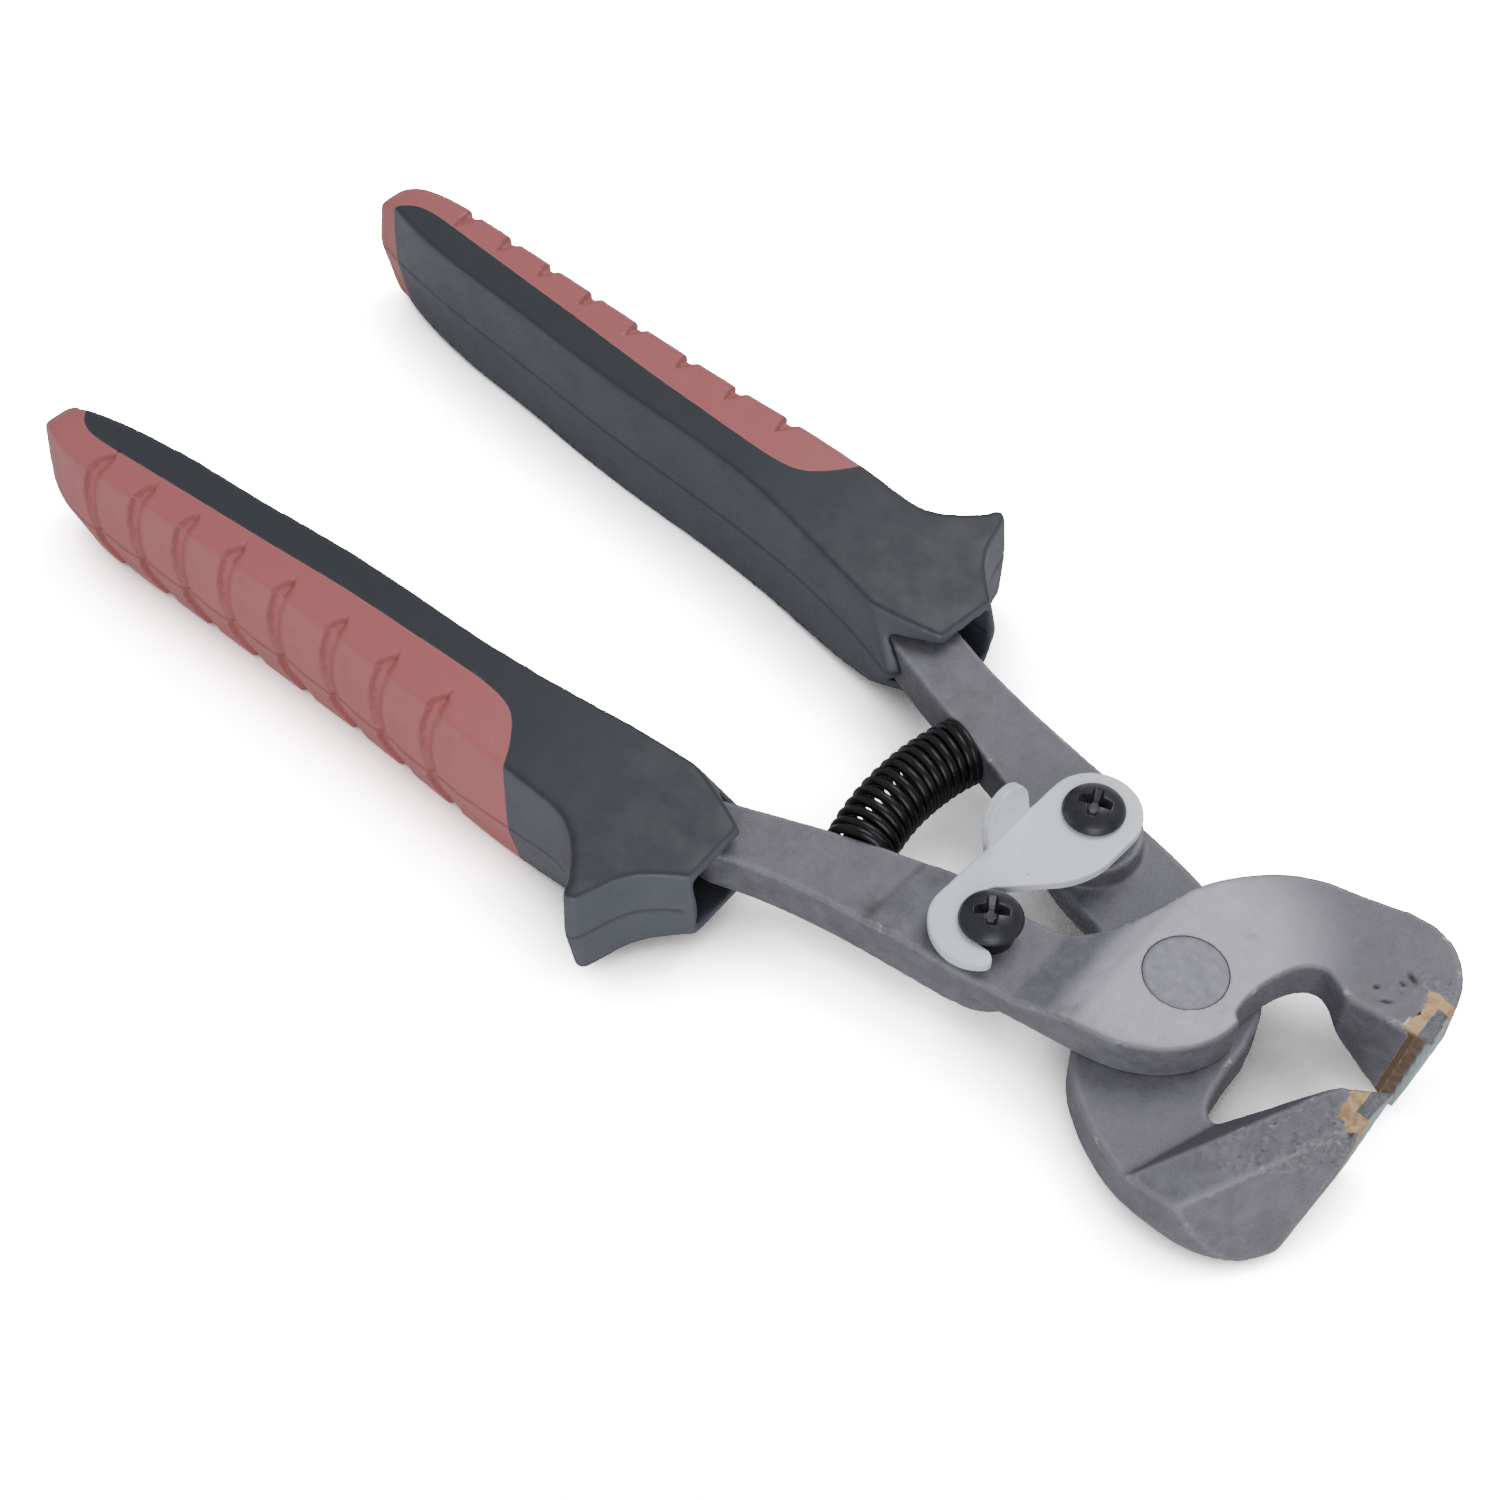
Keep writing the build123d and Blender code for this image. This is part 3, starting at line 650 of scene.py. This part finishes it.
def finish_arm(obj, side):
    """Mark where the arm is ground, pitted and nicked, where the head's top gets a painted highlight, and
    where a crease on the front arm gets painted shade.
    """
    shade(obj, 40)
    edge_attribute(obj, rounds=3, scale=0.05)
    co = get_points(obj.data)
    normals = get_normals(obj.data)
    attribute(obj.data, "pitted", crest_mask(co, side))
    attribute(obj.data, "bevel", bevel_mask(co, normals, side))
    # Painted highlight: the head's upward faces near the rivet, for a lighter colour.
    level = ramp(np.abs(normals[:, 2]), 0.85, 0.97)
    plate = level * ramp(np.hypot(co[:, 0] + 1.0, 0.8 * (co[:, 1] - 1.0)), 19.0, 8.0)
    attribute(obj.data, "plate", plate * ramp(np.abs(co[:, 2]), 5.0, 6.0))
    # Painted shade along the small crease across the front arm's top, and a dark blot beside it.
    crease_shade_and_blot = np.zeros(len(co))
    if side == "front":
        along = co[:, 1] + 13.5
        crease = np.exp(-(((co[:, 0] + 34.1) - 0.05 * along) / 0.45) ** 2)
        blot = np.exp(-((co[:, 0] + 34.9 + 0.15 * along) ** 2 / 2.2 + (co[:, 1] + 15.0) ** 2 / 3.2))
        crease_shade_and_blot = 0.45 * crease + 0.85 * blot * (0.6 + 0.4 * bumps(co, 1.2, 6))
        crease_shade_and_blot *= co[:, 2] > 2.0
    attribute(obj.data, "crease_shade_and_blot", np.clip(crease_shade_and_blot, 0, 1))
    # The nicks are sunk a little and coloured darker.
    nick_dark = np.zeros(len(co))
    own = np.where(co[:, 1] > BETWEEN_JAWS_Y, "front", "rear") == side
    for x, y, length, width, turn in MARKS:
        u = (co[:, 0] - x) * math.cos(turn) + (co[:, 1] - y) * math.sin(turn)
        v = (co[:, 1] - y) * math.cos(turn) - (co[:, 0] - x) * math.sin(turn)
        nick_dark = np.maximum(nick_dark, np.exp(-((u / length) ** 2 + (v / width) ** 2) ** 2) * own * (co[:, 2] > 3.0))
    attribute(obj.data, "nick_dark", nick_dark)
    set_points(obj.data, co - normals * (NICK_DEPTH * nick_dark)[:, None])


TIP_BLOCK = {"width": 4.6, "depth": 2.0, "wavy": 0.15}
BRAZE_BLOCK = {"width": 6.3, "depth": 3.6, "wavy": 1.0}
BLOCK_STEPS = 14


def block(name, side, width, depth, wavy):
    """Square bar along the leaning cutting edge; wavy gives its outline an uneven, hand brazed edge."""
    edge_y = EDGE_Y[side]
    away = -1 if side == "rear" else 1
    left = JAW_REACH - depth
    far = edge_y + away * width
    near = edge_y - away * 0.6
    right = JAW_REACH + 2.0
    outline = []
    corners = [(left, near), (left, far), (right, far), (right, near)]
    for (x0, y0), (x1, y1) in zip(corners, corners[1:] + corners[:1]):
        for k in range(BLOCK_STEPS):
            t = k / BLOCK_STEPS
            x, y = x0 + (x1 - x0) * t, y0 + (y1 - y0) * t
            if x < JAW_REACH + 0.5:
                x += wavy * noise.noise(Vector((x * 0.8, y * 0.8, 3.1)))
                y += wavy * noise.noise(Vector((x * 0.8, y * 0.8, 8.4)))
            outline.append((x, y))
    obj = prism(name, outline, -20, 20)
    co = get_points(obj.data)
    co[:, 0] += front_x(co[:, 2]) - JAW_REACH
    set_points(obj.data, co)
    return obj


def build_arm(side):
    """One arm with its carbide tip and braze, cut from a single skin so that they meet."""
    arm = arm_skin(side)
    hole = turned("hole", [(0, -20), (RIVET_HOLE, -20), (RIVET_HOLE, 20), (0, 20)], (0, 0), 192)
    boolean(arm, hole, "DIFFERENCE")
    inner = block("inner", side, **TIP_BLOCK)
    outer = block("outer", side, **BRAZE_BLOCK)
    tip = duplicate(arm, f"tip_{side}")
    boolean(tip, inner, "INTERSECT")
    braze = duplicate(arm, f"braze_metal_{side}")
    boolean(braze, outer, "INTERSECT")
    boolean(braze, inner, "DIFFERENCE")
    boolean(arm, outer, "DIFFERENCE")
    arm.name = f"arm_{side}"
    body = f"{side}_handle"
    finish_arm(arm, side)
    facing = -1 if side == "front" else 1
    for piece in (tip, braze):
        shade(piece, 35)
        normals = get_normals(piece.data)
        co = get_points(piece.data)
        inward = ramp(normals[:, 1] * facing, 0.5, 0.9)
        behind = front_x(co[:, 2]) - co[:, 0]
        attribute(piece.data, "stain", inward * ramp(behind, 0.65, 0.85))
        front_face = ramp(normals[:, 0], 0.45, 0.8)
        attribute(piece.data, "ground", np.maximum(front_face, inward * ramp(behind, 0.8, 0.6)))
    place(arm, body, STEEL, "forged_steel", f"{side}_arm")
    place(tip, body, CARBIDE, "carbide", f"carbide_tip_{side}")
    place(braze, body, BRAZE, "braze", f"braze_{side}")
    discard(hole, inner, outer)


for side in ("rear", "front"):
    build_arm(side)


# ---------------------------------------------------------------- rivet, screws, latch
def build_rivet():
    """The rivet, ground level with the head at both ends, its edge just broken."""
    top, radius = 6.4, 4.99
    half = [(0, top), (2.5, top), (4.5, top), (4.93, top - 0.01), (radius, top - 0.06), (radius, 0)]
    profile = half + [(r, -z) for r, z in reversed(half[:-1])]
    rivet = turned("rivet", profile[::-1], (0, 0), 160)
    shade(rivet, 50)
    place(rivet, "rear_handle", RIVET, "rivet_steel", "pivot_rivet")


def small_part(name, node, voxel, rounds, body, material, slot):
    """A small CAD part with its edges rounded."""
    obj = to_object(cad_mesh(node), name)
    remesh(obj, voxel * (1.0))
    smooth(obj, rounds)
    shade(obj, 60)
    place(obj, body, material, slot, node)


RIM_ROUND = 0.42
CROWN_RISE = 1.75
HEAD_HEIGHT = 2.5
SHANK_RADIUS = 2.0
# The cross recess at three levels: height against the crown, half length and half width of an arm.
RECESS_LEVELS = ((0.4, 2.5, 0.66), (-0.5, 2.15, 0.56), (-1.8, 0.9, 0.4))


def cross_cutter(centre, top, turn):
    """The tapering four armed solid that cuts a screw's recess."""
    verts = []
    for rise, long, wide in RECESS_LEVELS:
        for quarter in range(4):
            angle = math.radians(turn + 90 * quarter)
            cos, sin = math.cos(angle), math.sin(angle)
            for x, y in ((long, -wide), (long, wide), (wide * 1.25, wide * 1.25)):
                verts.append((centre[0] + x * cos - y * sin, centre[1] + x * sin + y * cos, top + rise))
    count = len(verts) // len(RECESS_LEVELS)
    last = len(verts) - 1
    faces = [tuple(range(count)), tuple(range(last, last - count, -1))]
    for ring in (0, count):
        for i in range(count):
            n = (i + 1) % count
            faces.append((ring + i, ring + n, ring + count + n, ring + count + i))
    return closed_mesh("cross", verts, faces)


def build_screw(name, node, turn, body):
    """Pan head with a rolled rim, a domed crown and a cross recess turned by so many degrees."""
    low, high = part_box(node)
    low, high = np.array(low) * 1000 - PIVOT, np.array(high) * 1000 - PIVOT
    centre = (low + high)[:2] / 2
    radius = (high[0] - low[0]) / 2
    top = high[2] + 0.02
    seat = top - HEAD_HEIGHT
    ball = (radius**2 + CROWN_RISE**2) / (2 * CROWN_RISE)
    profile = [(0, low[2]), (SHANK_RADIUS - 0.15, low[2]), (SHANK_RADIUS, low[2] + 0.2), (SHANK_RADIUS, seat)]
    profile.append((radius - 0.3, seat))
    for k in range(9):
        angle = math.radians(-90 + 120 * k / 8)
        rim = RIM_ROUND * math.cos(angle), RIM_ROUND * math.sin(angle)
        profile.append((radius - RIM_ROUND + rim[0], seat + RIM_ROUND + rim[1]))
    for k in range(1, 22):
        r = (radius - 0.12) * (1 - k / 21)
        profile.append((r, top - ball + math.sqrt(ball**2 - r**2)))
    screw = turned(name, profile, centre, 144)
    cross = cross_cutter(centre, top, turn)
    boolean(screw, cross, "DIFFERENCE")
    discard(cross)
    remesh(screw, 0.07)
    smooth(screw, 3)
    shade(screw, 60)
    place(screw, body, SCREW, "black_steel", node)


build_rivet()
small_part("latch", "latch_plate", 0.12, 7, "latch", ZINC, "zinc_plate")
build_screw("screw_of_latch", "latch_screw", 20, "rear_handle")
build_screw("screw_of_catch", "catch_screw", 35, "front_handle")
small_part("washer_of_latch", "latch_washer", 0.14, 3, "rear_handle", ZINC, "zinc_plate")

# These nearly hidden CAD nodes keep their own meshes.
for node, material in (
    ("latch_bushing", ZINC),
    ("catch_sleeve", BLACK_STEEL),
    ("spring_peg_front", BLACK_STEEL),
    ("spring_peg_rear", BLACK_STEEL),
):
    nodes[node].data.materials.clear()
    nodes[node].data.materials.append(material)


# ---------------------------------------------------------------- return spring
BEND_CENTRE = (-10.47, 2.35)
BEND_RADIUS = 33.88
HALF_BEND = math.radians(18.1)
COIL_RADIUS = 4.02
WIRE_RADIUS = 0.66
COILS = 14.5


def bend_point(angle):
    """A point of the spring's bowed middle line."""
    radial = np.array([math.cos(angle), math.sin(angle), 0])
    return np.array([*BEND_CENTRE, 0]) + BEND_RADIUS * radial


def build_spring():
    """Round wire wound about a bowed line, its end coils closed."""
    around, per_turn = ((14, 44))
    steps = int(COILS * per_turn)
    closed = 1.15 / COILS
    up = np.array([0, 0, 1.0])
    verts, faces = [], []
    for k in range(steps + 1):
        s = k / steps
        spread = np.interp(s, [0, closed, 0.5, 1 - closed, 1], [0, 0.052, 0.46, 0.948, 1])
        angle = math.pi - HALF_BEND + 2 * HALF_BEND * spread
        radial = np.array([math.cos(angle), math.sin(angle), 0.0])
        along = np.array([-math.sin(angle), math.cos(angle), 0.0])
        phase = 2 * math.pi * COILS * s + 0.6
        outward = radial * math.cos(phase) + up * math.sin(phase)
        centre = bend_point(angle) + outward * COIL_RADIUS
        for a in range(around):
            t = 2 * math.pi * a / around
            verts.append(centre + WIRE_RADIUS * (outward * math.cos(t) + along * math.sin(t)))
    for k in range(steps):
        for a in range(around):
            b = (a + 1) % around
            faces.append((k * around + a, k * around + b, (k + 1) * around + b, (k + 1) * around + a))
    faces.append(tuple(range(around)))
    faces.append(tuple(steps * around + a for a in reversed(range(around))))
    spring = closed_mesh("spring_wire", verts, faces, split=False)
    shade(spring, 50)
    place(spring, None, SPRING_STEEL, "black_steel", "return_spring")
    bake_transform(spring)


build_spring()


# ---------------------------------------------------------------- grips
# Finger grooves along the outer side, and that side's own outline, in the grip's frame.
GROOVE_X = [-163.6, -154.1, -144.8, -135.3, -125.1, -114.6, -104.8, -94.9]
SIDE_X = [-177.4, -169.0, -157.0, -130.0, -110.0, -90.0, -74.0]
SIDE_Y = [36.0, 39.4, 39.4, 37.9, 37.2, 37.2, 36.1]
# The line between red and black, from the grip's end to the guard.
BOUNDARY = [
    (-172.0, 24.0), (-173.0, 27.0), (-172.0, 30.6), (-167.5, 32.6), (-156.0, 31.8), (-143.0, 30.7),
    (-131.0, 29.7), (-117.0, 28.4), (-105.0, 27.7), (-96.0, 27.2), (-90.0, 27.1), (-85.5, 28.0),
    (-82.0, 31.2), (-79.0, 35.8), (-74.0, 44.0),
]
# Each grip stands this far askew, about a point of its own frame.
GRIP_TURN = math.radians(1.1)
GRIP_TURN_X, GRIP_TURN_Y = -60.0, 31.5
FACET_LEAN = 2.9
GROOVE_DEPTH = 0.72
MOUTH_X = -53.0


def grip_own(co, sign):
    """Points of a grip in its own slightly askew frame, y away from the other grip."""
    dx = co[:, 0] - GRIP_TURN_X
    dy = co[:, 1] + PIVOT[1] - sign * GRIP_TURN_Y
    own_x = GRIP_TURN_X + dx * math.cos(GRIP_TURN) - dy * math.sin(GRIP_TURN)
    return own_x, GRIP_TURN_Y + sign * (dx * math.sin(GRIP_TURN) + dy * math.cos(GRIP_TURN))


def grip_placed(x, y, sign):
    """A point of a grip's own frame back in the tool's."""
    dx, dy = x - GRIP_TURN_X, sign * (y - GRIP_TURN_Y)
    return (
        GRIP_TURN_X + dx * math.cos(GRIP_TURN) + dy * math.sin(GRIP_TURN),
        sign * GRIP_TURN_Y - dx * math.sin(GRIP_TURN) + dy * math.cos(GRIP_TURN) - PIVOT[1],
    )


def rounded_path(points, per=8):
    """A smooth curve through points, per steps between each two."""
    p = np.array([points[0]] + points + [points[-1]], float)
    out = []
    for i in range(1, len(p) - 2):
        for t in np.arange(per) / per:
            a, b, c, d = p[i - 1], p[i], p[i + 1], p[i + 2]
            square = (2 * a - 5 * b + 4 * c - d) * t**2
            cube = (3 * b - a - 3 * c + d) * t**3
            out.append(0.5 * (2 * b + (c - a) * t + square + cube))
    out.append(p[-2])
    return [tuple(v) for v in out]


def grip_skin(side):
    """Whole grip as one skin, its tang hole filled, edges softened, finger grooves and parting line cut."""
    sign = 1 if side == "rear" else -1
    bm = cad_mesh(f"grip_body_{side}", f"grip_overmould_{side}")
    tang = cad_mesh(f"{side}_arm")
    clip(tang, TANG_START_X, keep_above=False)
    mesh = bpy.data.meshes.new("tang")
    tang.to_mesh(mesh)
    tang.free()
    bm.from_mesh(mesh)
    skin = to_object(bm, f"grip_skin_{side}")
    remesh(skin, GRIP_VOXEL)
    smooth(skin, 14)
    co = get_points(skin.data)
    normals = get_normals(skin.data)
    own_x, own_y = grip_own(co, sign)
    height = np.abs(co[:, 2])
    # How far round the grip's section a point lies, from the parting line over the facet and onto the flat.
    inboard = np.clip(np.interp(own_x, SIDE_X, SIDE_Y) - FACET_LEAN - own_y, 0, 30)
    girth = height + ramp(height, 9.3, 10.3) * inboard
    # A groove's width, and how far it bows towards the jaws, both change with the girth.
    width = np.interp(
        girth, [0, 2.5, 5.2, 8.0, 10.0, 11.5, 12.8, 13.6], [1.4, 1.7, 2.2, 2.3, 2.7, 2.4, 1.3, 0.0]
    )
    bow = np.interp(girth, [0, 2.8, 5.2, 7.5, 9.5, 11.8, 13.6], [2.2, 0.5, 0.0, 0.3, 1.0, 1.1, 1.7])
    tail = 0.3 * ramp(girth, 11.0, 8.0)
    depth = np.zeros(len(co))
    groove_step_shade = np.zeros(len(co))
    outer = ramp(own_y, 27.5, 29.5) * (girth < 14.0)
    for x in GROOVE_X:
        u = own_x - x - bow
        step = ramp(u, -0.22, 0.22)
        slope = 1 - ramp(u, 0.45 * width, width + 0.15)
        rise = 1 - ramp(u, width, width + 4.6)
        cut = step * (tail * rise + (GROOVE_DEPTH - tail) * slope)
        depth = np.maximum(depth, cut)
        # Painted shade: a dark line along each groove's steep step, and a fainter one where the groove's
        # steeper rise ends.
        groove_step_shade = np.maximum(groove_step_shade, np.exp(-(u / 0.3) ** 2) * ramp(girth, 13.7, 13.0))
        groove_step_shade = np.maximum(groove_step_shade, 0.3 * np.exp(-((u - width) / 0.25) ** 2) * ramp(girth, 13.3, 12.0))
    depth *= outer
    parting = np.exp(-(co[:, 2] / 0.32) ** 2) * (own_x < MOUTH_X)
    sway = 0.05 * bumps(co, 9.0, 12, 2)
    set_points(skin.data, co - normals * (depth + 0.15 * parting + sway)[:, None])
    # The line colour is the parting line's own darker colour, with painted shade along the grooves' steps.
    attribute(skin.data, "line", np.maximum(parting, 0.85 * groove_step_shade * outer))
    # Painted shade: where the surface faces up or down, for the darker top colour.
    attribute(skin.data, "flat", ramp(np.abs(normals[:, 2]), 0.55, 0.9))
    return skin


def boundary_prism(side):
    """Everything on the red side of the boundary, from below the grip to above it."""
    sign = 1 if side == "rear" else -1
    outline = rounded_path(BOUNDARY) + [(-74.0, 60.0), (-200.0, 60.0), (-200.0, 24.0)]
    shifted = [grip_placed(x, y, sign) for x, y in outline]
    return prism(f"boundary_{side}", shifted, -40, 40)


def build_grip(side):
    """The grip's skin split into its black and red plastics."""
    skin = grip_skin(side)
    cutter = boundary_prism(side)
    red = duplicate(skin, f"grip_soft_{side}")
    boolean(red, cutter, "INTERSECT")
    boolean(skin, cutter, "DIFFERENCE")
    skin.name = f"grip_hard_{side}"
    for piece in (skin, red):
        shade(piece, 50)
    place(skin, f"{side}_handle", BLACK_GRIP, "black_grip", f"grip_body_{side}")
    place(red, f"{side}_handle", RED_GRIP, "red_grip", f"grip_overmould_{side}")
    discard(cutter)


for side in ("rear", "front"):
    build_grip(side)


# ---------------------------------------------------------------- floor, light, camera
FLOOR_HALF = 3.0
FLOOR_GAIN = 64.0
SHADE_REACH = 0.02
SHADE_POWER = 3.6


def build_stage():
    """White paper: what the camera sees of it is lifted to white, and a painted contact shadow darkens it
    softly round the object.
    """
    corners = [(x * FLOOR_HALF, y * FLOOR_HALF, 0) for x, y in ((-1, -1), (1, -1), (1, 1), (-1, 1))]
    floor = from_arrays("floor", corners, [(0, 1, 2, 3)])
    look = Look("floor_paper")
    look.tree.nodes.remove(look.shader)
    paper = look.new("ShaderNodeBsdfDiffuse")
    paper.inputs["Color"].default_value = (0.8, 0.8, 0.8, 1)
    # Painted contact shadow: ambient occlusion darkens the floor towards a warm grey near the object, besides
    # the lamps' own shadows.
    near = look.new("ShaderNodeAmbientOcclusion")
    near.samples = 16
    near.inputs["Distance"].default_value = SHADE_REACH
    open_sky = look.math("POWER", near.outputs["AO"], SHADE_POWER)
    bright = look.new("ShaderNodeBsdfDiffuse")
    lifted = look.mix(open_sky, (0.6, 0.56, 0.5, 1), (FLOOR_GAIN, FLOOR_GAIN, FLOOR_GAIN, 1))
    look.join(lifted, bright.inputs["Color"])
    seen = look.new("ShaderNodeLightPath")
    either = look.new("ShaderNodeMixShader")
    look.join(seen.outputs["Is Camera Ray"], either.inputs[0])
    look.join(paper.outputs["BSDF"], either.inputs[1])
    look.join(bright.outputs["BSDF"], either.inputs[2])
    look.join(either.outputs["Shader"], look.surface)
    floor.data.materials.append(look.material)


def area_light(name, place_at, aim, size, power):
    """A round soft box in metres and watts."""
    data = bpy.data.lights.new(name, "AREA")
    data.shape = "DISK"
    data.size = size
    data.energy = power
    light = bpy.data.objects.new(name, data)
    light.location = place_at
    light.rotation_mode = "QUATERNION"
    light.rotation_quaternion = (Vector(aim) - Vector(place_at)).to_track_quat("-Z", "Y")
    bpy.context.scene.collection.objects.link(light)


def build_light():
    world = bpy.data.worlds.new("studio")
    world.use_nodes = True
    background = world.node_tree.nodes["Background"]
    background.inputs["Color"].default_value = (0.96, 0.98, 1.0, 1)
    background.inputs["Strength"].default_value = 0.42
    bpy.context.scene.world = world
    area_light("key", place_at=(0.05, 0.45, 0.75), aim=(0.05, 0, 0), size=0.6, power=2.9)
    area_light("fill", place_at=(0.55, -0.6, 0.35), aim=(0, 0, 0), size=0.7, power=3.4)


CAMERA_PLACE = (0.1335, -0.1305, 0.2299)
CAMERA_AZIMUTH, CAMERA_ELEVATION, CAMERA_ROLL = -45.752, 51.756, -3.013


def build_camera():
    data = bpy.data.cameras.new("camera")
    data.lens = 51.62
    data.sensor_width = 36.0
    data.clip_start = 0.01
    data.clip_end = 20.0
    camera = bpy.data.objects.new("camera", data)
    yaw = Matrix.Rotation(math.radians(CAMERA_AZIMUTH + 90), 4, "Z")
    tilt = Matrix.Rotation(math.radians(90 - CAMERA_ELEVATION), 4, "X")
    roll = Matrix.Rotation(math.radians(CAMERA_ROLL), 4, "Z")
    camera.matrix_world = Matrix.Translation(Vector(CAMERA_PLACE)) @ yaw @ tilt @ roll
    bpy.context.scene.collection.objects.link(camera)
    bpy.context.scene.camera = camera


build_stage()
build_light()
build_camera()
